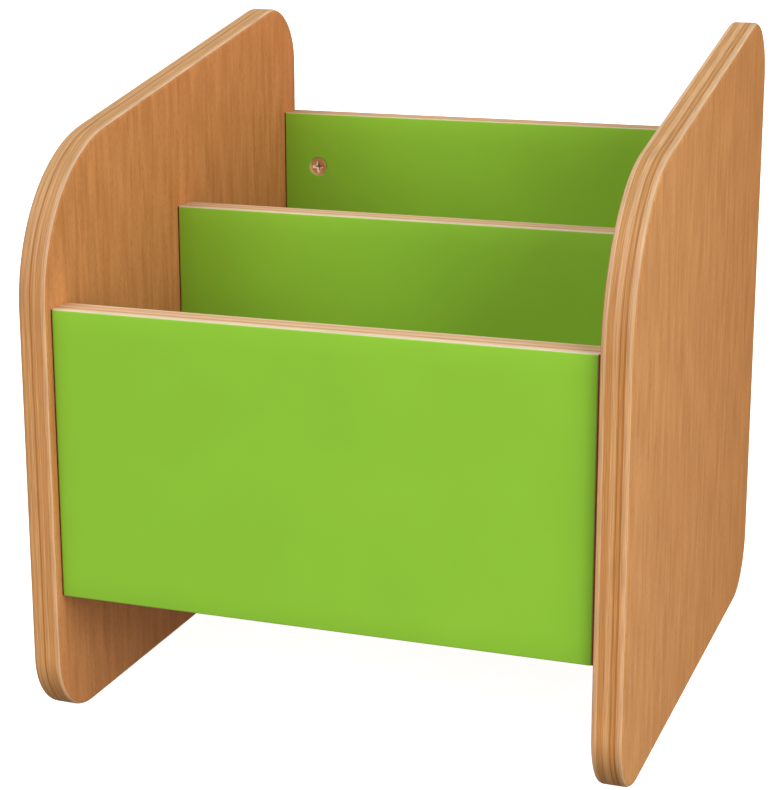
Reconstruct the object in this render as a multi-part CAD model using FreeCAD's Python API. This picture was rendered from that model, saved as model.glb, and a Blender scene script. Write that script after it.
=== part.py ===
import FreeCAD, Part
import math
import os

# Picture book browser bin, in millimetres: two shaped plywood sides joined by a front, a middle and
# a back panel, with a base board that carries the books in the two bays between them.
# X runs across the bin, Y from the front (-Y) to the back, Z up. The origin is on the floor, under
# the middle of the bin.

# Sides
overall_width = 360.0
side_depth = 380.0
side_height = 400.0          # to the highest point of the rising top edge
side_thickness = 18.0
top_slope = 11.0             # degrees by which the top edge rises to the back
front_top_radius = 100.0
rear_top_radius = 40.0
foot_radius = 40.0           # of the two bottom corners
side_arris = 3.0             # round-over along every edge of a side

# Cross panels: a plywood core with a hard laminate sheet glued on each face
core_thickness = 18.0
laminate_thickness = 1.0
laminate_bevel = 0.6         # bevel trimmed round the outer face of a sheet
laminate_end_gap = 0.6       # a sheet stops this short of the sides
panel_lift = 80.0            # floor to the bottom edge of the front and back panels
front_panel_height = 174.0
back_panel_height = 245.0
middle_panel_height = 182.0
front_setback = 6.0          # front edge of the sides to the front panel
back_setback = 3.0           # back edge of the sides to the back panel
front_bay_depth = 150.0      # clear space between the front and middle panels

# Base board
base_thickness = 18.0
base_inset = 6.0             # bottom edge of the front panel up to the underside of the base board

# Cam locks and their bolts
cam_radius = 6.0
cam_length = 14.0
cam_recess = 0.4             # face of a board down to the cam
cam_fit = 0.2                # round the cam and under it
cam_setback = 26.0           # end of a board to the cam's axis
cam_edge = 38.0              # top or bottom edge of a panel to the cam's axis
cam_wall = 1.6
cross_length = 8.4           # the driver's recess in the cam's face
cross_width = 1.5
cross_depth = 3.2
cross_middle_radius = 1.9
bolt_thread_radius = 3.0
bolt_thread_length = 11.0
bolt_thread_pitch = 2.0
bolt_thread_depth = 0.6
bolt_collar_radius = 3.4
bolt_collar_length = 1.5
bolt_shank_radius = 2.9
bolt_neck_radius = 2.0
bolt_head_radius = 3.2
bolt_fit = 0.3               # round the bolt in a board's end and in the cam
thread_fit = 0.1
base_cam_edge = 50.0         # front or back edge of the base board to the cam's axis

# Dowels
dowel_radius = 4.0
dowel_length = 30.0
dowel_in_bearer = 12.0       # length in the side, or in the base board under the middle panel
dowel_chamfer = 1.0
dowel_fit = 0.1
dowel_step = 32.0            # cam to the nearest dowel, along the joint
divider_dowel_offset = 80.0  # middle of the bin to the dowels under the middle panel
bore_end_gap = 0.5           # bottom of a blind bore to what is in it

ALONG_X = FreeCAD.Vector(1, 0, 0)
ALONG_Y = FreeCAD.Vector(0, 1, 0)
ALONG_Z = FreeCAD.Vector(0, 0, 1)
ENDS = (-1, 1)               # the left and the right end of a board
SAME_PLACE = 1e-6            # two places closer than this are one

# Places worked out from the sizes above
inner_half = overall_width / 2 - side_thickness
front_edge = -side_depth / 2
back_edge = side_depth / 2
panel_thickness = core_thickness + 2 * laminate_thickness
front_panel_y = front_edge + front_setback
middle_panel_y = front_panel_y + panel_thickness + front_bay_depth
back_panel_y = back_edge - back_setback - panel_thickness
base_bottom = panel_lift + base_inset
base_top = base_bottom + base_thickness
base_front = front_panel_y + panel_thickness
base_back = back_panel_y
base_middle_z = base_bottom + base_thickness / 2


def box(low, high):
    """A block between two corners."""
    size = [b - a for a, b in zip(low, high)]
    return Part.makeBox(*size, FreeCAD.Vector(*low))


def turned(outline, start, direction):
    """A turned piece. The outline lists (distance along the axis, radius), and the axis leaves start
    in the given direction."""
    points = [FreeCAD.Vector(radius, 0, distance) for distance, radius in outline]
    face = Part.Face(Part.makePolygon(points + points[:1]))
    piece = face.revolve(FreeCAD.Vector(), ALONG_Z, 360)
    piece.Placement = FreeCAD.Placement(start, FreeCAD.Rotation(ALONG_Z, direction))
    return piece


# ---------------------------------------------------------------- sides

def side_outline(x):
    """The face of a side in the plane X = x: straight edges with a tangent arc at each corner."""
    slope = math.radians(top_slope)

    def point(y, z):
        return FreeCAD.Vector(x, y, z)

    def on_arc(centre, radius, degrees):
        turn = math.radians(degrees)
        return point(centre[0] + radius * math.cos(turn), centre[1] + radius * math.sin(turn))

    rear = (back_edge - rear_top_radius, side_height - rear_top_radius)
    front_y = front_edge + front_top_radius
    front_z = (rear[1] + (front_y - rear[0]) * math.tan(slope)
               + (rear_top_radius - front_top_radius) / math.cos(slope))
    corners = [                                          # centre, radius, from and to (degrees)
        ((front_edge + foot_radius, foot_radius), foot_radius, 270, 180),
        ((front_y, front_z), front_top_radius, 180, 90 + top_slope),
        (rear, rear_top_radius, 90 + top_slope, 0),
        ((back_edge - foot_radius, foot_radius), foot_radius, 0, -90),
    ]
    edges = []
    for number, (centre, radius, first, last) in enumerate(corners):
        centre_before, radius_before, _, last_before = corners[number - 1]
        before = on_arc(centre_before, radius_before, last_before)
        start = on_arc(centre, radius, first)
        middle = on_arc(centre, radius, (first + last) / 2)
        end = on_arc(centre, radius, last)
        edges.append(Part.LineSegment(before, start).toShape())
        edges.append(Part.Arc(start, middle, end).toShape())
    return Part.Face(Part.Wire(edges))


def side_panel(end, bores):
    """A side with rounded arrises, drilled in its inner face for the bolts and dowels."""
    inner_x = end * inner_half
    board = side_outline(inner_x).extrude(ALONG_X * end * side_thickness)
    rims = [edge for edge in board.Edges if edge.BoundBox.XLength < side_thickness / 2]
    return board.makeFillet(side_arris, rims).cut(bores)


# ---------------------------------------------------------------- cam fittings and dowels

def cam_lock(axis_start, out, towards_bolt, bolt_depth):
    """A cam: a hollow drum with a quarter-turn slot for the bolt's neck, a round mouth for its head,
    and a cross recess in its face. axis_start is on the board's face, and bolt_depth is from there
    to the bolt."""
    bolt_height = cam_recess + cam_length - bolt_depth
    head_room = bolt_head_radius + bolt_fit
    neck_room = bolt_neck_radius + bolt_fit
    drum = Part.makeCylinder(cam_radius, cam_length)
    pocket = Part.makeCylinder(cam_radius - cam_wall, 2 * head_room,
                               ALONG_Z * (bolt_height - head_room))
    half_neck = math.degrees(math.asin(neck_room / (cam_radius - cam_wall)))
    slot = Part.makeCylinder(2 * cam_radius, 2 * neck_room, ALONG_Z * (bolt_height - neck_room),
                             ALONG_Z, 90 + half_neck)
    slot.rotate(FreeCAD.Vector(), ALONG_Z, -half_neck)
    mouth = Part.makeCylinder(head_room, 2 * cam_radius, ALONG_Z * bolt_height, ALONG_Y)
    bottom = cam_length - cross_depth
    bars = [box((-length / 2, -width / 2, bottom), (length / 2, width / 2, cam_length))
            for length, width in ((cross_length, cross_width), (cross_width, cross_length))]
    middle = Part.makeCone(0, cross_middle_radius, cross_depth, ALONG_Z * bottom)
    drum = drum.cut([pocket, slot, mouth, middle] + bars)
    turn = FreeCAD.Rotation(towards_bolt, out.cross(towards_bolt), out, "ZXY")
    drum.Placement = FreeCAD.Placement(axis_start - out * (cam_recess + cam_length), turn)
    return drum


def cam_bolt(on_side, inwards):
    """A steel bolt: a ribbed thread in the side, then a collar, shank, neck and head in the board's
    end, with the head on the cam's axis."""
    core = bolt_thread_radius - bolt_thread_depth
    outline = [(-bolt_thread_length, 0), (-bolt_thread_length, core)]
    crests = int((bolt_thread_length - bolt_thread_pitch / 2) / bolt_thread_pitch)
    for crest in range(crests):
        root = -bolt_thread_length + crest * bolt_thread_pitch
        outline += [(root + bolt_thread_pitch / 2, bolt_thread_radius),
                    (root + bolt_thread_pitch, core)]
    head = cam_setback
    outline += [
        (0, core),
        (0, bolt_collar_radius),
        (bolt_collar_length, bolt_collar_radius),
        (bolt_collar_length, bolt_shank_radius),
        (head - cam_radius - cam_wall, bolt_shank_radius),
        (head - cam_radius, bolt_neck_radius),
        (head - bolt_head_radius, bolt_neck_radius),
        (head - bolt_head_radius / 2, bolt_head_radius),
        (head + bolt_head_radius / 2, bolt_head_radius),
        (head + bolt_head_radius, bolt_head_radius / 2),
        (head + bolt_head_radius, 0),
    ]
    return turned(outline, on_side, inwards)


def dowel(on_face, inwards):
    """A chamfered beech dowel that stands dowel_in_bearer deep behind on_face, the rest before it."""
    narrow = dowel_radius - dowel_chamfer
    outline = [
        (0, 0),
        (0, narrow),
        (dowel_chamfer, dowel_radius),
        (dowel_length - dowel_chamfer, dowel_radius),
        (dowel_length, narrow),
        (dowel_length, 0),
    ]
    return turned(outline, on_face - inwards * dowel_in_bearer, inwards)


def dowel_bores(on_face, inwards):
    """The blind bore behind on_face and the one before it."""
    radius = dowel_radius + dowel_fit
    before_length = dowel_length - dowel_in_bearer + bore_end_gap
    behind = Part.makeCylinder(radius, dowel_in_bearer + bore_end_gap, on_face, inwards * -1)
    before = Part.makeCylinder(radius, before_length, on_face, inwards)
    return behind, before


def end_joints(bolt_places, dowel_places, out, face_distance):
    """The fittings at both ends of a board, and the bores for them. Places are (y, z). The cams go in
    from the face that looks along out, and face_distance is from the bolts to that face."""
    cam_depth = cam_recess + cam_length + cam_fit
    joint = {"cams": [], "bolts": [], "dowels": [], "board_bores": []}
    joint["side_bores"] = {end: [] for end in ENDS}
    for end in ENDS:
        inwards = ALONG_X * -end
        for y, z in bolt_places:
            on_side = FreeCAD.Vector(end * inner_half, y, z)
            on_board_face = on_side + inwards * cam_setback + out * face_distance
            joint["cams"].append(cam_lock(on_board_face, out, inwards * -1, face_distance))
            joint["bolts"].append(cam_bolt(on_side, inwards))
            joint["board_bores"] += [
                Part.makeCylinder(cam_radius + cam_fit, cam_depth, on_board_face, out * -1),
                Part.makeCylinder(bolt_collar_radius + bolt_fit, cam_setback, on_side, inwards),
            ]
            joint["side_bores"][end].append(
                Part.makeCylinder(bolt_thread_radius + thread_fit,
                                  bolt_thread_length + bore_end_gap, on_side, inwards * -1))
        for y, z in dowel_places:
            on_side = FreeCAD.Vector(end * inner_half, y, z)
            in_side, in_board = dowel_bores(on_side, inwards)
            joint["dowels"].append(dowel(on_side, inwards))
            joint["board_bores"].append(in_board)
            joint["side_bores"][end].append(in_side)
    return joint


# ---------------------------------------------------------------- boards

def laminate_sheet(outer_y, out, bottom, top, bores):
    """A laminate sheet. Its outer face, at outer_y, looks along out (-1 or 1) and has a bevelled
    rim."""
    half = inner_half - laminate_end_gap
    faces = sorted((outer_y, outer_y - out * laminate_thickness))
    sheet = box((-half, faces[0], bottom), (half, faces[1], top))
    rim = [edge for edge in sheet.Edges
           if all(abs(vertex.Y - outer_y) < SAME_PLACE for vertex in edge.Vertexes)]
    return sheet.makeChamfer(laminate_bevel, rim).cut(bores)


def cross_panel(name, front_y, bottom, height, cams_face, extra_bores=()):
    """A cored panel with its two sheets and its end fittings. cams_face is -1 where the cams go in
    from the front face and 1 where they go in from the rear face."""
    top = bottom + height
    middle_y = front_y + panel_thickness / 2
    low_cam = bottom + cam_edge
    high_cam = top - cam_edge
    bolts = [(middle_y, low_cam), (middle_y, high_cam)]
    dowels = [(middle_y, low_cam + dowel_step), (middle_y, high_cam - dowel_step)]
    joint = end_joints(bolts, dowels, ALONG_Y * cams_face, panel_thickness / 2)
    bores = joint["board_bores"] + list(extra_bores)
    core_front = front_y + laminate_thickness
    core_back = core_front + core_thickness
    core = box((-inner_half, core_front, bottom), (inner_half, core_back, top))
    nodes = {
        name + "_core": core.cut(bores),
        name + "_front_laminate": laminate_sheet(front_y, -1, bottom, top, bores),
        name + "_rear_laminate": laminate_sheet(front_y + panel_thickness, 1, bottom, top, bores),
    }
    return nodes, joint


def base_board(extra_bores):
    """The bottom board of both bays, with its end fittings in from below."""
    front_cam = base_front + base_cam_edge
    back_cam = base_back - base_cam_edge
    bolts = [(front_cam, base_middle_z), (back_cam, base_middle_z)]
    dowels = [(front_cam + dowel_step, base_middle_z), (back_cam - dowel_step, base_middle_z)]
    joint = end_joints(bolts, dowels, ALONG_Z * -1, base_thickness / 2)
    board = box((-inner_half, base_front, base_bottom), (inner_half, base_back, base_top))
    return {"base_board": board.cut(joint["board_bores"] + extra_bores)}, joint


# ---------------------------------------------------------------- the whole bin

divider_middle_y = middle_panel_y + panel_thickness / 2
divider_joints = [FreeCAD.Vector(end * divider_dowel_offset, divider_middle_y, base_top)
                  for end in ENDS]
divider_bores = [dowel_bores(place, ALONG_Z) for place in divider_joints]
bores_in_base = [below for below, above in divider_bores]
bores_in_divider = [above for below, above in divider_bores]

boards = {
    "front_panel": cross_panel("front_panel", front_panel_y, panel_lift, front_panel_height, 1),
    "middle_panel": cross_panel("middle_panel", middle_panel_y, base_top, middle_panel_height, 1,
                                bores_in_divider),
    "back_panel": cross_panel("back_panel", back_panel_y, panel_lift, back_panel_height, -1),
    "base_board": base_board(bores_in_base),
}

nodes = {}
side_bores = {end: [] for end in ENDS}
for board_name, (board_nodes, joint) in boards.items():
    nodes.update(board_nodes)
    nodes[board_name + "_cam_locks"] = Part.makeCompound(joint["cams"])
    nodes[board_name + "_cam_bolts"] = Part.makeCompound(joint["bolts"])
    nodes[board_name + "_dowels"] = Part.makeCompound(joint["dowels"])
    for end in ENDS:
        side_bores[end] += joint["side_bores"][end]
nodes["divider_dowels"] = Part.makeCompound([dowel(place, ALONG_Z) for place in divider_joints])
nodes["side_panel_left"] = side_panel(-1, side_bores[-1])
nodes["side_panel_right"] = side_panel(1, side_bores[1])

os.makedirs("parts", exist_ok=True)
for node_name, shape in nodes.items():
    shape.exportStep("parts/" + node_name + ".step")
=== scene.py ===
import math

import bmesh
import bpy
import numpy as np
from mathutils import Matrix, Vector


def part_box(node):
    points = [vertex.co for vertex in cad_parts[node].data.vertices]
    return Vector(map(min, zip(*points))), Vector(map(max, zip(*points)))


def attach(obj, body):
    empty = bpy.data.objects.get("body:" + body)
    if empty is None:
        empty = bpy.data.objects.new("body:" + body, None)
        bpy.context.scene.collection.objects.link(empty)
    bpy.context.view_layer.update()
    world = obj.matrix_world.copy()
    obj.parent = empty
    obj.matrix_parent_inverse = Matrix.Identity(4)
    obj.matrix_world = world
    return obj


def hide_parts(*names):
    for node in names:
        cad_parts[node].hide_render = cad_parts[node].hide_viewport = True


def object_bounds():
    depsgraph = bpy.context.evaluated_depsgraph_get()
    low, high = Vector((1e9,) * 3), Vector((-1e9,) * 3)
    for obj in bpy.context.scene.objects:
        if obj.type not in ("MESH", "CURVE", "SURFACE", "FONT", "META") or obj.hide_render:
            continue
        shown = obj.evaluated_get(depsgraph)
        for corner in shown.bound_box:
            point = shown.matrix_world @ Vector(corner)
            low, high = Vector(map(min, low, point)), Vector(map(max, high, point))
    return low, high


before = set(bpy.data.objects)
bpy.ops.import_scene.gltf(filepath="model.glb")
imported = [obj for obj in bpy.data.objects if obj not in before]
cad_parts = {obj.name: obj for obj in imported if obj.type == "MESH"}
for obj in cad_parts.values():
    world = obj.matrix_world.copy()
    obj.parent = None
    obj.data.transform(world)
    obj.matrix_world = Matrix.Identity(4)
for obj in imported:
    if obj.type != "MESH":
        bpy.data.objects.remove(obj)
cad_low, cad_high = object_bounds()

# Picture book browser bin, in metres. Two shaped plywood sides hold three laminated cross panels
# and a base board. Each board is a closed surface worked out on grids, put where its solid is. A
# board's own coordinates are two along it, a and b, and the depth below its first face.

BOARD_THICKNESS = 0.018
QUARTER = math.pi / 2        # of a turn
EIGHTH = math.pi / 4

# Sides
FRONT_TOP_RADIUS = 0.100
REAR_TOP_RADIUS = 0.040
FOOT_RADIUS = 0.040
TOP_SLOPE = math.radians(11)
SIDE_ARRIS = 0.003
FACE_VENEER = 0.0006

# Cross panels and base board
CORE_ARRIS = 0.0003
BASE_ARRIS = 0.0012
LAMINATE_ARRIS = 0.0009
LAMINATE_SKIN = 0.00030      # the green skin, over a cream body
LEFT_TRIM = 0.0002           # how much further a laminate is trimmed back at its left end
RIGHT_TRIM = 0.0012          # and at its right
PANELS = ("front_panel", "middle_panel", "back_panel")

# Cams and their holes
CAM_RADIUS = 0.006
HOLE_RADIUS = 0.0062
HOLE_ARRIS = 0.0005
HOLE_EASE_OUT = (1.0, 0.85, 0.1, 0.0)      # its profile, from the face inwards
HOLE_EASE_DOWN = (0.0, 0.1, 0.8, 1.0)
CROSS_REACH = 0.0043
CROSS_TOP = 0.00130          # half the width of an arm of the cross, at the face
CROSS_FLOOR = 0.00030        # and at its floor
CROSS_DEPTH = 0.0023         # in the middle
CROSS_END_DEPTH = 0.0013     # and at the end of an arm
CUP_RADIUS = 0.0021          # the cup that joins the arms, at the face
CUP_FLOOR = 0.0007           # and at its floor
END_WALL = 0.0005            # how far the wall at an arm's end slopes
CROSS_TURN = math.radians(-12)
NEXT_CROSS_TURN = math.radians(17)         # how much further each cam is turned than the last
CAM_FACE_RADIUS = 0.0051
# The rim's section, as radii and depths
CAM_RIM = ((0.0051, 0.00030), (0.0052, 0.00012), (0.00535, 0.00002), (0.00555, 0.0),
           (0.00575, 0.00005), (0.0059, 0.00018), (0.006, 0.0004))
CAM_FOOT = 0.0003
RIM_GLINT_MARK = 0.00010           # the mark that paints the cams' rims a little brighter in their map: a painted highlight

# Fineness of the surfaces
OUTLINE_STEP = 0.0025
EDGE_STEP = 0.00025
ARRIS_STEPS = 8
SMALL_ARRIS_STEPS = 4
FACE_RINGS = (1, 0.992, 0.85, 0.6, 0.3, 0)     # sizes of the rings that fill a side's face
PLAIN_STEP = 0.012
COLLAR_STEPS = 12            # grid cells along each side of the square round a hole
COLLAR_HALF = 0.010
COLLAR_RINGS = 4
CORNER_STEPS = 4
CAM_FACE_CELLS = (3, 3, 4, 5, 3, 4)            # grid cells between the edges of a cam's recess
WELD = 1e-6
SHARP = math.radians(35)

# Plies by the depth at which each starts: pale ones have their grain along the edge, brown ones
# across it. Sanding leaves the brown ones a little back.
# The left's sheen is a painted highlight on its inner arris. Its russet is brown painted lighter,
# a lit copy of the right's brown
LEFT_PLIES = ((0.0000, "tan"), (0.0007, "sheen"), (0.0014, "tan"), (0.0032, "brown"),
              (0.0036, "russet"), (0.0060, "brown"), (0.0065, "pale"), (0.0078, "russet"),
              (0.0092, "dark"), (0.0100, "brown"), (0.0105, "pale"), (0.0126, "russet"),
              (0.0141, "pale"), (0.0160, "russet"))
# The right's cream and bright are painted light on its inner arris, which turns into shade, and
# its lit is a painted highlight on the outer arris
RIGHT_PLIES = ((0.0000, "cream"), (0.0017, "bright"), (0.0033, "brown"), (0.0070, "pale"),
               (0.0100, "brown"), (0.0106, "dark"), (0.0113, "brown"), (0.0130, "dark"),
               (0.0141, "tan"), (0.0165, "lit"), (0.0173, "tan"))
# The first and last dark plies of a core are its faces, painted near black as painted shade in the
# gaps beside the laminates
CORE_PLIES = ((0.0000, "dark"), (0.0001, "cream"), (0.0031, "light"), (0.0052, "brown"),
              (0.0070, "pale"), (0.0088, "light"), (0.0104, "pale"), (0.0124, "tan"),
              (0.0145, "pale"), (0.0160, "light"), (0.0179, "dark"))
BACK_PLIES = ((0.0000, "dark"), (0.0001, "light"), (0.0024, "tan"), (0.0052, "brown"),
              (0.0060, "tan"), (0.0088, "pale"), (0.0104, "tan"), (0.0145, "brown"),
              (0.0155, "tan"), (0.0179, "dark"))
BASE_PLIES = ((0.0000, "pale"), (0.0034, "dark"), (0.0039, "brown"), (0.0072, "pale"),
              (0.0106, "dark"), (0.0111, "brown"), (0.0144, "pale"))
SET_BACK = 0.00005
SET_BACK_PLIES = ("russet", "brown", "dark")
PLY_BLUR = 0.0001

# The sander's bite along an edge swings about its mean, on a ripple whose own phase drifts
BITE_MEAN = 0.75
BITE_SWING = 0.25
RIPPLE = 210                 # radians a metre
DRIFT = 57
DRIFT_SWING = 1.3
ARRIS_FADE = 6               # how suddenly the bite stops at the arrises


# ---------------------------------------------------------------- surfaces

def build(name, patches, place, material, nodes, thickness=0.0, flipped=False):
    """One closed mesh from patches: each has a grid of local points, a grid of (run, depth) pairs
    for the plies, and a mask of its cells or None. place turns local points into the bin's frame.
    flipped measures the plies' depth from the last face."""
    points, quads, pairs = [], [], []
    first = 0
    for grid, pair, keep in patches:
        rows, columns = grid.shape[:2]
        number = first + np.arange(rows * columns).reshape(rows, columns)
        cells = np.stack([number[:-1, :-1], number[1:, :-1], number[1:, 1:], number[:-1, 1:]], -1)
        quads.append(cells.reshape(-1, 4) if keep is None else cells[keep])
        points.append(grid.reshape(-1, 3))
        pairs.append(pair.reshape(-1, 2))
        first += rows * columns
    points = place(np.concatenate(points))
    quads = np.concatenate(quads)
    pairs = np.concatenate(pairs)
    if flipped:
        pairs[:, 1] = thickness - pairs[:, 1]
    mesh = bpy.data.meshes.new(name)
    mesh.from_pydata(points.tolist(), [], quads.tolist())
    mesh.uv_layers.new(name="plies").data.foreach_set("uv", pairs[quads.ravel()].ravel())
    surface = bmesh.new()
    surface.from_mesh(mesh)
    bmesh.ops.remove_doubles(surface, verts=surface.verts, dist=WELD)
    loose = [vertex for vertex in surface.verts if not vertex.link_faces]
    bmesh.ops.delete(surface, geom=loose, context="VERTS")
    bmesh.ops.recalc_face_normals(surface, faces=surface.faces)
    surface.to_mesh(mesh)
    surface.free()
    mesh.shade_smooth()
    mesh.set_sharp_from_angle(angle=SHARP)
    mesh.materials.append(material)
    piece = bpy.data.objects.new(name, mesh)
    bpy.context.scene.collection.objects.link(piece)
    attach(piece, "root")
    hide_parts(*nodes)


def patch(a, b, depth, run=0.0, keep=None):
    """A patch from its local coordinates and its run along the edge, each a grid or a number."""
    grid = np.stack(np.broadcast_arrays(a, b, depth), -1).astype(float)
    run, depth = np.broadcast_arrays(run, grid[..., 2])
    return grid, np.stack([run, depth], -1), keep


def eased_section(thickness, first, last, steps):
    """Section of a board's edge, as distances outwards and depths: a quarter round of radius
    first, out = r sin t and depth = r (1 - cos t), a flat, and a quarter round of radius last.
    Without a last radius it ends square and turns back in."""
    turn = np.linspace(0, QUARTER, steps + 1)
    flat = np.linspace(first, thickness - last, 2 + round((thickness - first - last) / EDGE_STEP))
    out = [first * np.sin(turn), np.full(len(flat) - 1, first)]
    deep = [first * (1 - np.cos(turn)), flat[1:]]
    if last:
        out.append(first - last * (1 - np.cos(turn[1:])))
        deep.append(thickness - last + last * np.sin(turn[1:]))
    out.append([0.0])
    deep.append([thickness])
    return np.concatenate(out), np.concatenate(deep)


def ply_relief(depth, plies):
    """How far the edge stands back: each brown ply is SET_BACK deep, with soft steps
    (1 + tanh) / 2 where two plies meet."""
    amounts = [SET_BACK if kind in SET_BACK_PLIES else 0.0 for _, kind in plies]
    back = np.full_like(depth, amounts[0])
    for (start, _), amount, before in zip(plies[1:], amounts[1:], amounts):
        back = back + (amount - before) * (0.5 + 0.5 * np.tanh((depth - start) / PLY_BLUR))
    return back


def edge_band(path, angle, section, plies=None):
    """The edge round a board: point = path + outward direction x section's distance. Plies make
    it stand back, by their relief x the sander's bite x the distance's share of the greatest,
    raised to a power, which keeps the arrises as they are."""
    out, deep = section
    outward = np.stack([np.cos(angle), np.sin(angle)], -1)
    rim = path + outward * out.max()
    run = np.concatenate([[0], np.cumsum(np.linalg.norm(np.diff(rim, axis=0), axis=1))])
    reach = np.broadcast_to(out, (len(path), len(out)))
    if plies:
        phase = run * RIPPLE + DRIFT_SWING * np.sin(run * DRIFT)
        bite = BITE_MEAN + BITE_SWING * np.sin(phase)
        flat = (out / out.max()) ** ARRIS_FADE
        reach = reach - ply_relief(deep, plies) * bite[:, None] * flat
    places = path[:, None, :] + outward[:, None, :] * reach[:, :, None]
    return patch(places[..., 0], places[..., 1], deep[None, :], run[:, None])


def shrunk_rings(path, depth):
    """A flat face inside a convex path: middle + (path - middle) x share, ring by ring."""
    middle = path.mean(0)
    share = np.array(FACE_RINGS)[None, :, None]
    places = middle + (path[:, None, :] - middle) * share
    return patch(places[..., 0], places[..., 1], depth)


def side_path(low, high):
    """The sides' outline, drawn in by the arris: four arcs, centre + (radius - arris) x (cos t,
    sin t), joined by the straight runs that touch them. Gives points (y, z) and outward angles."""
    rear = np.array([high.y - REAR_TOP_RADIUS, high.z - REAR_TOP_RADIUS])
    front_y = low.y + FRONT_TOP_RADIUS
    front_z = (rear[1] + (front_y - rear[0]) * math.tan(TOP_SLOPE)
               + (REAR_TOP_RADIUS - FRONT_TOP_RADIUS) / math.cos(TOP_SLOPE))
    foot_z = low.z + FOOT_RADIUS
    corners = (                                       # centre, radius, first and last angle
        ((low.y + FOOT_RADIUS, foot_z), FOOT_RADIUS, 3 * QUARTER, 2 * QUARTER),
        ((front_y, front_z), FRONT_TOP_RADIUS, 2 * QUARTER, QUARTER + TOP_SLOPE),
        (rear, REAR_TOP_RADIUS, QUARTER + TOP_SLOPE, 0),
        ((high.y - FOOT_RADIUS, foot_z), FOOT_RADIUS, 0, -QUARTER),
    )
    arcs, turns = [], []
    for centre, radius, first, last in corners:
        turn = np.linspace(first, last, 2 + round(radius * abs(first - last) / OUTLINE_STEP))
        spoke = np.stack([np.cos(turn), np.sin(turn)], -1)
        arcs.append(np.array(centre) + spoke * (radius - SIDE_ARRIS))
        turns.append(turn)
    path, angle = [], []
    for number, (arc, turn) in enumerate(zip(arcs, turns)):
        following = arcs[(number + 1) % len(arcs)][0]
        steps = 1 + round(np.linalg.norm(following - arc[-1]) / OUTLINE_STEP)
        share = np.linspace(0, 1, steps + 1)[1:-1, None]
        path += [arc, arc[-1] + (following - arc[-1]) * share]
        angle += [turn, np.full(len(share), turn[-1])]
    path = np.concatenate(path + [arcs[0][:1]])
    angle = np.concatenate(angle + [turns[0][:1]])
    return path, angle


def grid_lines(low, high, centres):
    """Grid lines from low to high: plain steps, and across each hole's square the tangents of
    even angles, so that they meet the rings round the hole."""
    across = COLLAR_HALF * np.tan(np.linspace(-EIGHTH, EIGHTH, COLLAR_STEPS + 1))
    lines = []
    reached = low
    for centre in sorted(set(centres)):
        steps = max(1, round((centre - COLLAR_HALF - reached) / PLAIN_STEP))
        lines += [np.linspace(reached, centre - COLLAR_HALF, steps + 1)[:-1], centre + across[:-1]]
        reached = centre + COLLAR_HALF
    steps = max(1, round((high - reached) / PLAIN_STEP))
    lines.append(np.linspace(reached, high, steps + 1))
    return np.concatenate(lines)


def border_path(a, b):
    """The border of a grid, once round. Each corner is repeated while the outward angle turns."""
    turning = np.linspace(0, QUARTER, CORNER_STEPS + 1)[1:-1]
    edges = (
        (a, np.full(len(a), b[0])),
        (np.full(len(b), a[-1]), b),
        (a[::-1], np.full(len(a), b[-1])),
        (np.full(len(b), a[0]), b[::-1]),
    )
    path, angle = [], []
    for number, edge in enumerate(edges):
        points = np.stack(edge, -1)
        facing = (number - 1) * QUARTER
        path += [points, np.repeat(points[-1:], len(turning), axis=0)]
        angle += [np.full(len(points), facing), facing + turning]
    path = np.concatenate(path + [path[0][:1]])
    angle = np.concatenate(angle + [np.array([3 * QUARTER])])
    return path, angle


def round_hole():
    """Angles once round a hole, from one corner of its square, as a column."""
    return np.linspace(-EIGHTH, 4 * QUARTER - EIGHTH, 4 * COLLAR_STEPS + 1)[:, None]


def drilled_face(a, b, depth, holes, radius):
    """A flat face on the lines a and b. Rings fill the square round each hole: rim x (1 - s) +
    square x s."""
    middle_a = (a[:-1] + a[1:])[:, None] / 2
    middle_b = (b[:-1] + b[1:])[None, :] / 2
    keep = np.ones((len(a) - 1, len(b) - 1), bool)
    spoke = np.concatenate([np.cos(round_hole()), np.sin(round_hole())], -1)
    square = COLLAR_HALF * spoke / np.abs(spoke).max(-1, keepdims=True)
    share = np.linspace(0, 1, COLLAR_RINGS + 1)[None, :, None]
    rings = []
    for hole in holes:
        keep &= ((np.abs(middle_a - hole[0]) > COLLAR_HALF)
                 | (np.abs(middle_b - hole[1]) > COLLAR_HALF))
        places = np.array(hole) + radius * spoke[:, None] * (1 - share) + square[:, None] * share
        rings.append(patch(places[..., 0], places[..., 1], depth))
    return [patch(a[:, None], b[None, :], depth, keep=keep)] + rings


def hole_wall(hole, radii, depths):
    """The wall of a hole: radii at depths, turned round its middle."""
    turn = round_hole()
    radii = np.array(radii)[None, :]
    return patch(hole[0] + radii * np.cos(turn), hole[1] + radii * np.sin(turn),
                 np.array(depths)[None, :], radii * turn)


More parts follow.
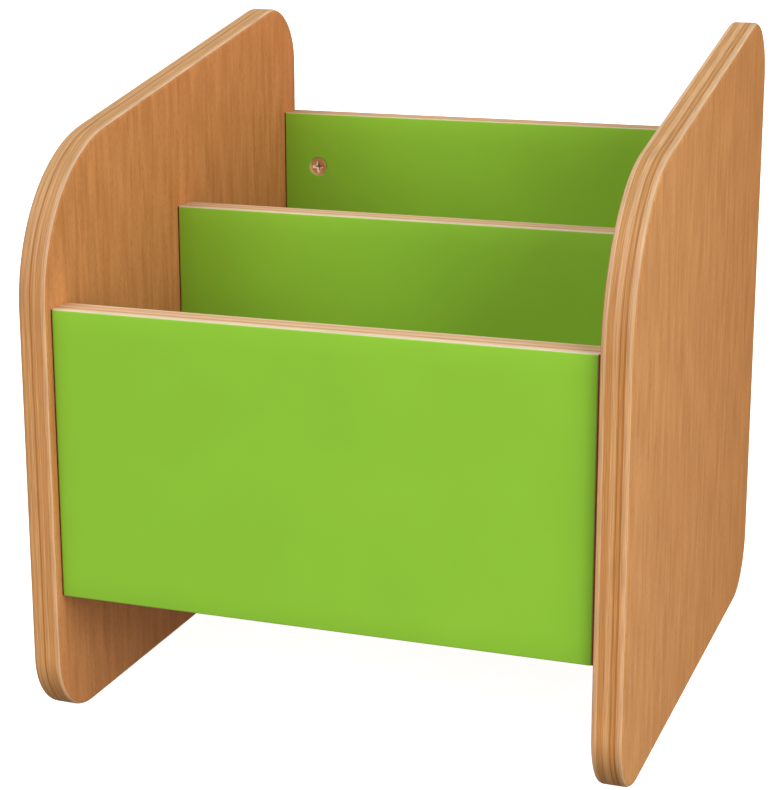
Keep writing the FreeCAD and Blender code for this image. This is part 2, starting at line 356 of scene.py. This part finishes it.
def board(a_span, b_span, thickness, arrises, plies, holes, hole_depth):
    """Patches of a rectangular board, drilled from its first face. A hole_depth of the board's
    whole thickness goes through."""
    first_arris, last_arris = arrises
    a = grid_lines(a_span[0] + first_arris, a_span[1] - first_arris, [hole[0] for hole in holes])
    b = grid_lines(b_span[0] + first_arris, b_span[1] - first_arris, [hole[1] for hole in holes])
    path, angle = border_path(a, b)
    section = eased_section(thickness, first_arris, last_arris, SMALL_ARRIS_STEPS)
    patches = [edge_band(path, angle, section, plies)]
    ease = min(first_arris, HOLE_ARRIS)
    patches += drilled_face(a, b, 0.0, holes, HOLE_RADIUS + ease)
    through = hole_depth >= thickness
    patches += drilled_face(a, b, thickness, holes if through else (), HOLE_RADIUS)
    for hole in holes:
        radii = [HOLE_RADIUS + ease * share for share in HOLE_EASE_OUT] + [HOLE_RADIUS]
        depths = [ease * share for share in HOLE_EASE_DOWN] + [min(hole_depth, thickness)]
        if not through:
            radii.append(0.0)
            depths.append(hole_depth)
        patches.append(hole_wall(hole, radii, depths))
    return patches


def clamp(value):
    """The value, held between 0 and 1."""
    return np.clip(value, 0, 1)


def cam_drum(middle, recess, length, turned):
    """One cam. Its face is a square grid (u, v) bent onto a disc, x = u sqrt(1 - v²/2) and
    y = v sqrt(1 - u²/2), with a cross sunk in it: each arm's depth is its wall's share x its
    end's share x a floor that rises outwards, and a cup in the middle joins the four. The rim and
    the drum are turned profiles."""
    size = CAM_FACE_RADIUS
    stops = np.array([0, CROSS_FLOOR, CROSS_TOP, CUP_RADIUS, CROSS_REACH - END_WALL, CROSS_REACH,
                      size]) / size
    half = [np.linspace(low, high, cells + 1)[1:]
            for low, high, cells in zip(stops, stops[1:], CAM_FACE_CELLS)]
    half = np.concatenate(half)
    lines = np.concatenate([-half[::-1], [0], half])
    u, v = np.meshgrid(lines, lines, indexing="ij")

    def arm(across, along):
        """The depth of an arm of the cross, by the distances across it and along it."""
        wall = clamp((CROSS_TOP - np.abs(across) * size) / (CROSS_TOP - CROSS_FLOOR))
        end = clamp((CROSS_REACH - np.abs(along) * size) / END_WALL)
        floor = CROSS_DEPTH + (CROSS_END_DEPTH - CROSS_DEPTH) * np.abs(along) * size / CROSS_REACH
        return wall * end * floor

    def disc(u, v):
        """The square bent onto the disc."""
        return u * np.sqrt(1 - v ** 2 / 2), v * np.sqrt(1 - u ** 2 / 2)

    face_x, face_y = disc(u, v)
    radius = size * np.hypot(face_x, face_y)
    cup = CROSS_DEPTH * clamp((CUP_RADIUS - radius) / (CUP_RADIUS - CUP_FLOOR))
    sunk = np.maximum(np.maximum(arm(u, v), arm(v, u)), cup)
    ends = np.ones(len(lines) - 1)
    border_u = np.concatenate([lines[:-1], ends, -lines[:-1], -ends, [-1]])
    border_v = np.concatenate([-ends, lines[:-1], ends, -lines[:-1], [-1]])
    spoke_x, spoke_y = disc(border_u, border_v)
    rim_radii, rim_depths = zip(*CAM_RIM)
    radii = np.array([*rim_radii, CAM_RADIUS, CAM_RADIUS - CAM_FOOT, 0])[None, :]
    depths = np.array([*rim_depths, length - CAM_FOOT, length, length])[None, :]
    cosine, sine = math.cos(turned), math.sin(turned)

    def turned_patch(x, y, deep, mark):
        """A patch turned with the cam and put where it is in the board."""
        return patch(middle[0] + cosine * x - sine * y, middle[1] + sine * x + cosine * y,
                     recess + deep, mark)

    # Painted highlight: the outer rim gets a mark that paints it a little brighter
    rim_glint = np.where((radii > rim_radii[1]) & (depths < rim_depths[-1]), RIM_GLINT_MARK, 0.0)
    # The cross's depth is also its mark, which paints highlights on its shallow walls and shade on
    # its floor
    return [
        turned_patch(size * face_x, size * face_y, rim_depths[0] + sunk, sunk),
        turned_patch(radii * spoke_x[:, None], radii * spoke_y[:, None], depths, rim_glint),
    ]


# ---------------------------------------------------------------- materials

def grey(level):
    """A neutral colour."""
    return (level, level, level)


# Colours are linear, and tones are stops of (value, colour)
DOWEL_BEECH = (0.503, 0.212, 0.068)
# The two sides' beech is painted as lit and shaded copies of one veneer, one tuned to the left's
# inner face and one to the right's outer face
LEFT_BEECH = ((0.482, 0.206, 0.070), (0.540, 0.214, 0.067))      # at the front and at the rear, with painted light and shade between them
RIGHT_BEECH = ((0.505, 0.236, 0.082), (0.452, 0.189, 0.053))
# Side ply tones. cream, bright, sheen and lit are painted highlights, and russet is brown painted
# lighter for the left side
SIDE_TONES = {
    "cream": (0.820, 0.440, 0.222),
    "bright": (0.670, 0.385, 0.185),
    "lit": (0.540, 0.325, 0.172),
    "sheen": (0.600, 0.365, 0.200),
    "pale": (0.605, 0.312, 0.130),
    "tan": (0.563, 0.295, 0.130),
    "russet": (0.575, 0.266, 0.093),
    "brown": (0.520, 0.235, 0.078),
    "dark": (0.430, 0.170, 0.048),
}
CORE_TONES = {
    "cream": (0.83, 0.68, 0.50),
    "light": (0.80, 0.58, 0.365),
    "pale": (0.735, 0.475, 0.28),
    "tan": (0.69, 0.415, 0.23),
    "brown": (0.63, 0.33, 0.165),
    # Painted shade: dark is the cores' faces under the laminates, painted near black so that the
    # gaps at the laminates' ends read as shade
    "dark": (0.200, 0.058, 0.015),
}

# The size of a fleck along x, y and z
UPRIGHT_FLECK = (0.0006, 0.0006, 0.0040)
CROSS_FLECK = (0.0050, 0.0007, 0.0007)
DOWEL_FLECK = (0.010, 0.0008, 0.0008)

# The veneer's figure: each layer's width and length in flecks, its detail, roughness and tones
CLOUDS = (16.0, 10.0, 2.0, 0.55, ((0.32, (0.92, 0.90, 0.87)), (0.68, (1.06, 1.08, 1.11))))
BANDS = (6.5, 13.0, 1.0, 0.5,
         ((0.34, (0.93, 0.91, 0.88)), (0.50, grey(1.0)), (0.66, (1.04, 1.05, 1.07))))
STREAKS = (1.3, 9.0, 3.0, 0.6,
           ((0.28, (0.90, 0.88, 0.85)), (0.42, grey(1.0)), (0.58, grey(1.0)), (0.72, grey(1.04))))
FLECKS = (1.0, 1.0, 2.0, 0.6,
          ((0.34, (0.84, 0.80, 0.76)), (0.44, grey(0.99)), (0.56, grey(1.01)), (0.66, grey(1.10))))

# Lacquer, and the plies on an edge
LACQUER_ROUGHNESS = 0.45
LACQUER_SPECULAR = 0.03
LACQUER_RELIEF = (0.2, 0.00015)                # strength and distance
RAW_ROUGHNESS = 0.7
RAW_RELIEF = (0.3, 0.0002)
PLY_WAVE = (0.030, 1.0, 1.0)                   # along the run
PLY_WANDER = 0.0003
EDGE_FIBRE = (0.030, 0.00045, 1.0)             # along the run and across it
EDGE_FIBRE_TONES = ((0.36, grey(0.80)), (0.50, grey(1.0)), (0.64, grey(1.18)))
# Painted sheen: the edges are painted paler and whiter towards the top, by the share of the bin's
# height, in place of the lacquer's sheen
PAINTED_SHEEN_TONES = ((0.59, grey(1.0)), (0.66, (0.89, 0.91, 0.95)), (0.74, (0.88, 0.95, 1.12)),
                 (0.81, (0.84, 0.96, 1.15)), (0.86, (0.88, 1.02, 1.21)),
                 (0.92, (0.97, 1.13, 1.36)))

# Laminate
LEAF_GREEN = (0.262, 0.535, 0.037)
LAMINATE_ROUGHNESS = 0.45
LAMINATE_SPECULAR = 0.2
LAMINATE_CLOUD = 0.05
LAMINATE_CLOUD_TONES = ((0.3, grey(0.98)), (0.7, grey(1.02)))
STIPPLE = 0.0006
STIPPLE_RELIEF = (0.10, 0.0001)
BODY_LINE = (0.003, 0.0002, 1.0)
BODY_TONES = ((0.35, (0.666, 0.558, 0.414)), (0.65, (0.74, 0.62, 0.46)))

# Metals
BRONZE_TONES = ((0.35, (0.62, 0.28, 0.10)), (0.65, (0.86, 0.44, 0.18)))
# A painted highlight: the colour that the cams' shallow marks and rims are painted towards
PAINTED_GLINT_BRONZE = (1.0, 0.93, 0.82)
STEEL_TONES = ((0.35, grey(0.42)), (0.65, grey(0.58)))
METAL_CLOUD = 0.002
METAL_PITS = 0.0004
METAL_RELIEF = (0.25, 0.0001)
DEEPEST_MARK = 0.002
# Painted highlight on the cams' shallow marks, by mark
PAINTED_GLINT_MARKS = ((0.025, grey(0)), (0.15, grey(1)), (0.6, grey(1)), (0.9, grey(0.1)))
# Painted shade on the deep marks in the cams' recesses, by mark
PAINTED_SHADE_MARKS = ((0.5, grey(1)), (0.95, grey(0.42)))


def node(tree, kind, inputs=None, **settings):
    """A shader node. Each input is a number, a tuple or another node's output."""
    made = tree.nodes.new("ShaderNode" + kind)
    for key, value in settings.items():
        setattr(made, key, value)
    for key, value in (inputs or {}).items():
        if isinstance(value, bpy.types.NodeSocket):
            tree.links.new(value, made.inputs[key])
        else:
            made.inputs[key].default_value = value
    return made


def new_material(name, **sockets):
    """A material with a Principled shader, whose constant sockets are given by name."""
    material = bpy.data.materials.new(name)
    material.use_nodes = True
    tree = material.node_tree
    tree.nodes.clear()
    shader = node(tree, "BsdfPrincipled")
    for socket, value in sockets.items():
        shader.inputs[socket.replace("_", " ")].default_value = value
    output = node(tree, "OutputMaterial")
    tree.links.new(shader.outputs["BSDF"], output.inputs["Surface"])
    return material, tree, shader


def object_place(tree):
    """Where a point is in the bin's frame."""
    return node(tree, "TexCoord").outputs["Object"]


def edge_place(tree):
    """A point's run along the edge and its depth below the first face, from the piece's map."""
    return node(tree, "UVMap", uv_map="plies").outputs["UV"]


def coordinate(tree, place, index):
    """One coordinate of a place."""
    return node(tree, "SeparateXYZ", {0: place}).outputs[index]


def maths(tree, operation, first, second, clamped=False):
    """One number from two."""
    inputs = {0: first, 1: second}
    return node(tree, "Math", inputs, operation=operation, use_clamp=clamped).outputs[0]


def noise(tree, place, lengths, detail=3.0, roughness=0.55):
    """Noise about 0.5, whose features have the given lengths along the three coordinates."""
    scale = tuple(1 / length for length in lengths)
    spread = node(tree, "VectorMath", {0: place, 1: scale}, operation="MULTIPLY").outputs[0]
    return node(tree, "TexNoise", {"Vector": spread, "Scale": 1.0, "Detail": detail,
                                   "Roughness": roughness}).outputs["Fac"]


def ramp(tree, value, stops):
    """A colour for each value, from (value, colour) stops."""
    made = node(tree, "ValToRGB", {"Fac": value})
    elements = made.color_ramp.elements
    while len(elements) < len(stops):
        elements.new(1.0)
    for element, (position, colour) in zip(elements, stops):
        element.position = position
        element.color = (*colour, 1)
    return made.outputs["Color"]


def mix(tree, share, first, second, blend="MIX"):
    """Two colours mixed."""
    made = node(tree, "Mix", data_type="RGBA", blend_type=blend)
    for index, value in ((0, share), (6, first), (7, second)):
        if isinstance(value, bpy.types.NodeSocket):
            tree.links.new(value, made.inputs[index])
        else:
            made.inputs[index].default_value = value if index == 0 else (*value, 1)
    return made.outputs[2]


def tinted(tree, colour, tint):
    """Two colours multiplied."""
    return mix(tree, 1.0, colour, tint, "MULTIPLY")


def bump(tree, shader, height, relief):
    """Fine relief on the shader's normal, by its strength and distance."""
    strength, distance = relief
    made = node(tree, "Bump", {"Height": height, "Strength": strength, "Distance": distance})
    tree.links.new(made.outputs[0], shader.inputs["Normal"])


def beech_veneer(tree, place, fleck, tone):
    """Beech: soft clouds, long straight bands, fine streaks, and short crisp flecks along the
    grain, each multiplied onto the tone. fleck is the size of a fleck along each coordinate, and
    the longest lies along the grain. Returns the colour and the flecks, as a height."""
    colour = tone
    for wide, long, detail, roughness, tones in (CLOUDS, BANDS, STREAKS, FLECKS):
        lengths = [length * (long if length == max(fleck) else wide) for length in fleck]
        layer = noise(tree, place, lengths, detail, roughness)
        colour = tinted(tree, colour, ramp(tree, layer, tones))
    return colour, layer


def painted_falloff_tone(tree, place, ends):
    """A board's tone, painted from one at the bin's front to one at its rear: painted light and
    shade that change along the board.
    """
    share = node(tree, "MapRange", {"Value": coordinate(tree, place, 1), "From Min": -cad_high[1],
                                    "From Max": cad_high[1]})
    return ramp(tree, share.outputs["Result"], [(0.0, ends[0]), (1.0, ends[1])])


def ply_stops(plies, tones):
    """Colour stops across the plies, each one even between soft joints."""
    stops = []
    ends = [start for start, _ in plies[1:]] + [BOARD_THICKNESS]
    for (start, tone), end in zip(plies, ends):
        blur = min(PLY_BLUR, (end - start) / 3)
        stops.append(((start + blur) / BOARD_THICKNESS, tones[tone]))
        stops.append(((end - blur) / BOARD_THICKNESS, tones[tone]))
    return stops


def plywood(name, fleck, plies, tones, veneer=None):
    """Lacquered plywood: veneer on its faces, and plies on its edges, by the run along the edge
    and the depth below the first face. The plies of a veneered board waver a little and are
    painted paler towards the top, a painted sheen. The veneer's tones carry painted light and
    shade from the bin's front to its rear. Without a veneer's tones, other pieces cover its faces."""
    material, tree, shader = new_material(name, Roughness=LACQUER_ROUGHNESS,
                                          Specular_IOR_Level=LACQUER_SPECULAR)
    edge = edge_place(tree)
    depth = coordinate(tree, edge, 1)
    ply_depth = depth
    if veneer:
        wave = maths(tree, "SUBTRACT", noise(tree, edge, PLY_WAVE, detail=2.0), 0.5)
        ply_depth = maths(tree, "ADD", depth, maths(tree, "MULTIPLY", wave, PLY_WANDER))
    ply_share = maths(tree, "DIVIDE", ply_depth, BOARD_THICKNESS)
    fibre = noise(tree, edge, EDGE_FIBRE, roughness=0.6)
    colour = tinted(tree, ramp(tree, ply_share, ply_stops(plies, tones)),
                    ramp(tree, fibre, EDGE_FIBRE_TONES))
    height = fibre
    if veneer:
        place = object_place(tree)
        height_share = maths(tree, "DIVIDE", coordinate(tree, place, 2), cad_high[2])
        # Painted sheen: the edge is painted paler towards the top
        edge_colour = tinted(tree, colour, ramp(tree, height_share, PAINTED_SHEEN_TONES))
        face_colour, flecks = beech_veneer(tree, place, fleck, painted_falloff_tone(tree, place, veneer))
        near_first = maths(tree, "LESS_THAN", depth, FACE_VENEER)
        near_last = maths(tree, "GREATER_THAN", depth, BOARD_THICKNESS - FACE_VENEER)
        on_face = maths(tree, "ADD", near_first, near_last, clamped=True)
        colour = mix(tree, on_face, edge_colour, face_colour)
        heights = {0: on_face, 2: fibre, 3: flecks}
        height = node(tree, "Mix", heights, data_type="FLOAT").outputs[0]
    tree.links.new(colour, shader.inputs["Base Color"])
    bump(tree, shader, height, LACQUER_RELIEF)
    return material


def laminate(name):
    """Semi-matt leaf green laminate with a fine stipple. Its edges show the cream body."""
    material, tree, shader = new_material(name, Roughness=LAMINATE_ROUGHNESS,
                                          Specular_IOR_Level=LAMINATE_SPECULAR)
    place = object_place(tree)
    edge = edge_place(tree)
    cloud = noise(tree, place, (LAMINATE_CLOUD,) * 3, detail=2.0)
    skin = tinted(tree, LEAF_GREEN, ramp(tree, cloud, LAMINATE_CLOUD_TONES))
    body = ramp(tree, noise(tree, edge, BODY_LINE), BODY_TONES)
    below_skin = maths(tree, "GREATER_THAN", coordinate(tree, edge, 1), LAMINATE_SKIN)
    tree.links.new(mix(tree, below_skin, skin, body), shader.inputs["Base Color"])
    bump(tree, shader, noise(tree, place, (STIPPLE,) * 3, detail=2.0), STIPPLE_RELIEF)
    return material


def metal(name, tones, glint_tone=None, **sockets):
    """Plated metal with a cloudy tone and fine pits. With a second tone, the marks in the piece's
    own map shift its colour: shallow marks are painted towards that tone as a painted highlight,
    and deep ones are painted darker as painted shade."""
    material, tree, shader = new_material(name, **sockets)
    place = object_place(tree)
    colour = ramp(tree, noise(tree, place, (METAL_CLOUD,) * 3), tones)
    if glint_tone:
        mark = maths(tree, "DIVIDE", coordinate(tree, edge_place(tree), 0), DEEPEST_MARK)
        # Painted shade: deep marks are painted darker
        shaded_colour = tinted(tree, colour, ramp(tree, mark, PAINTED_SHADE_MARKS))
        # Painted highlight: shallow marks are painted towards the glint tone
        colour = mix(tree, ramp(tree, mark, PAINTED_GLINT_MARKS), shaded_colour, glint_tone)
    tree.links.new(colour, shader.inputs["Base Color"])
    bump(tree, shader, noise(tree, place, (METAL_PITS,) * 3, detail=2.0), METAL_RELIEF)
    return material


def raw_beech(name):
    """Raw beech, with its grain along X."""
    material, tree, shader = new_material(name, Roughness=RAW_ROUGHNESS)
    colour, flecks = beech_veneer(tree, object_place(tree), DOWEL_FLECK, DOWEL_BEECH)
    tree.links.new(colour, shader.inputs["Base Color"])
    bump(tree, shader, flecks, RAW_RELIEF)
    return material


# The two sides get lit and shaded copies of one plywood, with painted light in their tones
left_ply = plywood("left_plywood", UPRIGHT_FLECK, LEFT_PLIES, SIDE_TONES, LEFT_BEECH)
right_ply = plywood("right_plywood", UPRIGHT_FLECK, RIGHT_PLIES, SIDE_TONES, RIGHT_BEECH)
base_ply = plywood("base_plywood", CROSS_FLECK, BASE_PLIES, SIDE_TONES, LEFT_BEECH)
core_ply = plywood("core_plywood", CROSS_FLECK, CORE_PLIES, CORE_TONES)
back_ply = plywood("back_plywood", CROSS_FLECK, BACK_PLIES, CORE_TONES)
green = laminate("green_laminate")
bronze = metal("bronzed_metal", BRONZE_TONES, PAINTED_GLINT_BRONZE, Roughness=0.32, Metallic=0.35)
steel = metal("bolt_steel", STEEL_TONES, Roughness=0.30, Metallic=1.0)
dowel_wood = raw_beech("dowel_beech")


# ---------------------------------------------------------------- boards

def side(end_name, outwards, plies, material):
    """One side: its outline carried through its thickness, the first face towards the middle."""
    low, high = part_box("side_panel_" + end_name)
    thickness = high.x - low.x
    inner_x = low.x if outwards > 0 else high.x
    path, angle = side_path(low, high)
    section = eased_section(thickness, SIDE_ARRIS, SIDE_ARRIS, ARRIS_STEPS)

    def place(local):
        return np.stack([inner_x + outwards * local[:, 2], local[:, 0], local[:, 1]], -1)

    patches = [edge_band(path, angle, section, plies), shrunk_rings(path, 0.0),
               shrunk_rings(path, thickness)]
    build(end_name + "_side", patches, place, material,
          ["side_panel_" + end_name])


def measured_from(face, low, high):
    """Places a board that is measured from its front or its rear face."""
    y, inwards = (low.y, 1) if face == "front" else (high.y, -1)
    return lambda local: np.stack([local[:, 0], y + inwards * local[:, 2], local[:, 1]], -1)


def cam_middles(low, high, across):
    """The middles of a board's four cams, from the box round all of them."""
    return [(a, b) for a in (low.x + CAM_RADIUS, high.x - CAM_RADIUS)
            for b in (low[across] + CAM_RADIUS, high[across] - CAM_RADIUS)]


def cross_panel(name):
    """A panel between the sides: core, two laminates and four cams. The back panel's cams are in
    its front face, the others' in their rear face."""
    cams_low, cams_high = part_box(name + "_cam_locks")
    holes = cam_middles(cams_low, cams_high, 2)
    cams_in_front = name == "back_panel"
    cam_face = "front" if cams_in_front else "rear"
    for face in ("front", "rear"):
        node_name = name + "_" + face + "_laminate"
        low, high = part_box(node_name)
        sheet = high.y - low.y
        patches = board((low.x + LEFT_TRIM, high.x - RIGHT_TRIM), (low.z, high.z), sheet,
                        (LAMINATE_ARRIS, 0.0), None, holes if face == cam_face else (), sheet)
        build(name + "_" + face + "_sheet", patches, measured_from(face, low, high), green,
              [node_name])
    low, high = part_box(name + "_core")
    thickness = high.y - low.y
    hole_end = cams_high.y - low.y if cams_in_front else high.y - cams_low.y
    patches = board((low.x, high.x), (low.z, high.z), thickness, (CORE_ARRIS, CORE_ARRIS),
                    None, holes, hole_end)
    build(name + "_board", patches, measured_from(cam_face, low, high),
          back_ply if cams_in_front else core_ply, [name + "_core"], thickness,
          not cams_in_front)
    low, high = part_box(name + "_" + ("front" if cams_in_front else "rear") + "_laminate")
    recess = cams_low.y - low.y if cams_in_front else high.y - cams_high.y
    cams(name, holes, recess, cams_high.y - cams_low.y, measured_from(cam_face, low, high))


def cams(name, holes, recess, length, place):
    """A board's cams, each one turned a little further than the last, as a hand leaves them."""
    patches = []
    for number, hole in enumerate(holes):
        patches += cam_drum(hole, recess, length, CROSS_TURN + number * NEXT_CROSS_TURN)
    build(name + "_cams", patches, place, bronze, [name + "_cam_locks"])


def base():
    """The base board, drilled from below for its cams."""
    low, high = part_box("base_board")
    cams_low, cams_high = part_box("base_board_cam_locks")
    holes = cam_middles(cams_low, cams_high, 1)

    def place(local):
        return np.stack([local[:, 0], local[:, 1], low.z + local[:, 2]], -1)

    patches = board((low.x, high.x), (low.y, high.y), high.z - low.z, (BASE_ARRIS, BASE_ARRIS),
                    BASE_PLIES, holes, cams_high.z - low.z)
    build("base", patches, place, base_ply, ["base_board"])
    cams("base_board", holes, cams_low.z - low.z, cams_high.z - cams_low.z, place)


def finish_fitting(node_name, material):
    """A fitting that is hidden inside the boards keeps its own shape and gets its material."""
    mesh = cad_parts[node_name].data
    mesh.materials.clear()
    mesh.materials.append(material)


side("left", -1, LEFT_PLIES, left_ply)
side("right", 1, RIGHT_PLIES, right_ply)
for panel in PANELS:
    cross_panel(panel)
base()

for board_name in PANELS + ("base_board",):
    finish_fitting(board_name + "_cam_bolts", steel)
    finish_fitting(board_name + "_dowels", dowel_wood)
finish_fitting("divider_dowels", dowel_wood)


# ---------------------------------------------------------------- floor, light and camera

FLOOR_REACH = 40.0
FLOOR_TONE = 0.80
FLOOR_ROUGHNESS = 0.9
FLOOR_GLOW = 0.93

# Surroundings, as a light and as the camera sees them
LIGHT_LEVEL = 0.28
BACKDROP_LEVEL = 1.0

# Camera. The focal length and the shifts are in pixels of a render with this long side.
LONG_SIDE = 790.0
FOCAL_LENGTH = 2028.7
SHIFT_RIGHT = -15
SHIFT_UP = -47
SENSOR_WIDTH = 36.0          # millimetres
CAMERA_PLACE = (0.4035, -1.1860, 0.5100)
CAMERA_DIP = 13.82           # degrees below level
CAMERA_TURN = 19.41          # degrees to the left of straight back
NEAREST = 0.05
FARTHEST = 200


def floor():
    """A pale floor that reaches far past the view. It lightens its own shadows a little, and sends
    no light up at the bin, as a table much smaller than this one would."""
    mesh = bpy.data.meshes.new("floor")
    corners = [(-FLOOR_REACH, -FLOOR_REACH, 0), (FLOOR_REACH, -FLOOR_REACH, 0),
               (FLOOR_REACH, FLOOR_REACH, 0), (-FLOOR_REACH, FLOOR_REACH, 0)]
    mesh.from_pydata(corners, [], [(0, 1, 2, 3)])
    material, tree, shader = new_material("pale_floor", Roughness=FLOOR_ROUGHNESS,
                                          Specular_IOR_Level=0.0, Emission_Strength=FLOOR_GLOW)
    shader.inputs["Base Color"].default_value = (*grey(FLOOR_TONE), 1)
    shader.inputs["Emission Color"].default_value = (1, 1, 1, 1)
    mesh.materials.append(material)
    piece = bpy.data.objects.new("floor", mesh)
    piece.visible_diffuse = False
    piece.visible_glossy = False
    bpy.context.scene.collection.objects.link(piece)


def aimed(light, azimuth, height):
    """A lamp with this light, turned to the bin from an azimuth, which is measured from the front
    towards the right, and a height above the floor, both in degrees. Returns the lamp and the
    direction towards it."""
    lamp = bpy.data.objects.new(light.name, light)
    azimuth, height = math.radians(azimuth), math.radians(height)
    towards = Vector((math.sin(azimuth) * math.cos(height), -math.cos(azimuth) * math.cos(height),
                      math.sin(height)))
    lamp.rotation_euler = towards.to_track_quat("Z", "Y").to_euler()
    bpy.context.scene.collection.objects.link(lamp)
    return lamp, towards


def sun(name, azimuth, height, strength, softness):
    """A distant softbox, whose softness is its apparent size in degrees."""
    light = bpy.data.lights.new(name, "SUN")
    light.energy = strength
    light.angle = math.radians(softness)
    aimed(light, azimuth, height)


def softbox(name, azimuth, height, distance, width, power):
    """A round softbox at a distance from the middle of the bin."""
    light = bpy.data.lights.new(name, "AREA")
    light.shape = "DISK"
    light.size = width
    light.energy = power
    lamp, towards = aimed(light, azimuth, height)
    lamp.location = towards * distance + Vector((0, 0, (cad_low[2] + cad_high[2]) / 2))
    lamp.visible_camera = False


def camera():
    """The camera, in front of the bin, to its right and above it."""
    lens = bpy.data.cameras.new("camera")
    lens.sensor_width = SENSOR_WIDTH
    lens.lens = FOCAL_LENGTH / LONG_SIDE * SENSOR_WIDTH
    lens.shift_x = SHIFT_RIGHT / LONG_SIDE
    lens.shift_y = SHIFT_UP / LONG_SIDE
    lens.clip_start = NEAREST
    lens.clip_end = FARTHEST
    seen_from = bpy.data.objects.new("camera", lens)
    seen_from.location = CAMERA_PLACE
    seen_from.rotation_euler = (math.radians(90 - CAMERA_DIP), 0, math.radians(CAMERA_TURN))
    bpy.context.scene.collection.objects.link(seen_from)
    bpy.context.scene.camera = seen_from


def studio():
    """Even white surroundings, dim as a light and bright as a backdrop."""
    world = bpy.data.worlds.new("studio")
    world.use_nodes = True
    tree = world.node_tree
    surroundings = tree.nodes["Background"]
    surroundings.inputs["Color"].default_value = (1, 1, 1, 1)
    seen = node(tree, "LightPath").outputs["Is Camera Ray"]
    levels = {"Value": seen, "To Min": LIGHT_LEVEL, "To Max": BACKDROP_LEVEL}
    strength = node(tree, "MapRange", levels).outputs["Result"]
    tree.links.new(strength, surroundings.inputs["Strength"])
    bpy.context.scene.world = world


floor()
studio()
softbox("right", azimuth=65, height=20, distance=3.2, width=3.0, power=123)
sun("left", azimuth=-30, height=45, strength=1.85, softness=50)
sun("rear", azimuth=245, height=3, strength=2.2, softness=30)
camera()
bpy.context.scene.view_settings.view_transform = "Standard"
